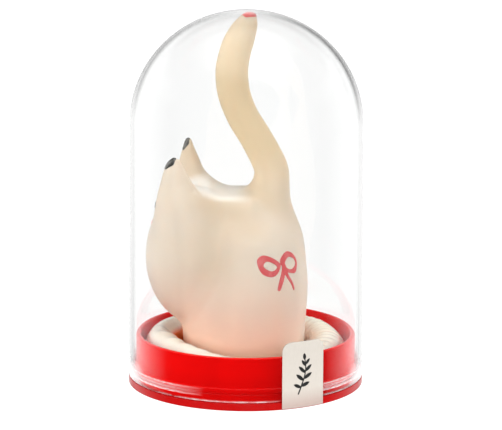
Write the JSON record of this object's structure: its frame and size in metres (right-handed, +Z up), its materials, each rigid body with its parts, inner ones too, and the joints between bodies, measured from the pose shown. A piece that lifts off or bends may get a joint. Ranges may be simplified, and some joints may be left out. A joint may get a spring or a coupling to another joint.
{
  "type": "latex figure in display dome",
  "caption": "Soft hollow latex mouse figure with a long tail and a rolled tube end, standing in a red dish base under a clear lift-off dome with a paper seal.",
  "frame": {"origin": "centre of the flat underside of the base, on the surface that the object stands on", "axes": "+Z up along the dome's centre line; -X is the way the figure's head points; -Y is the side that carries the painted bow and the seal"},
  "size_m": [0.063, 0.063, 0.1009],
  "materials": {
    "red_plastic": "gloss moulded",
    "latex": "smooth satin, slightly translucent, hand painted",
    "clear_plastic": "clear moulded plastic, polished",
    "label_paper": "uncoated, printed black ornament"
  },
  "bodies": {
    "stand": {"base": "red_plastic", "rolled_rim": "latex", "figure_skin": "latex"},
    "cover": {"dome": "clear_plastic", "seal": "label_paper"}
  },
  "joints": [
    {"name": "dome_lift", "type": "slide", "parent": "stand", "child": "cover", "axis": [0, 0, 1], "range_m": [0, 0.105]}
  ]
}
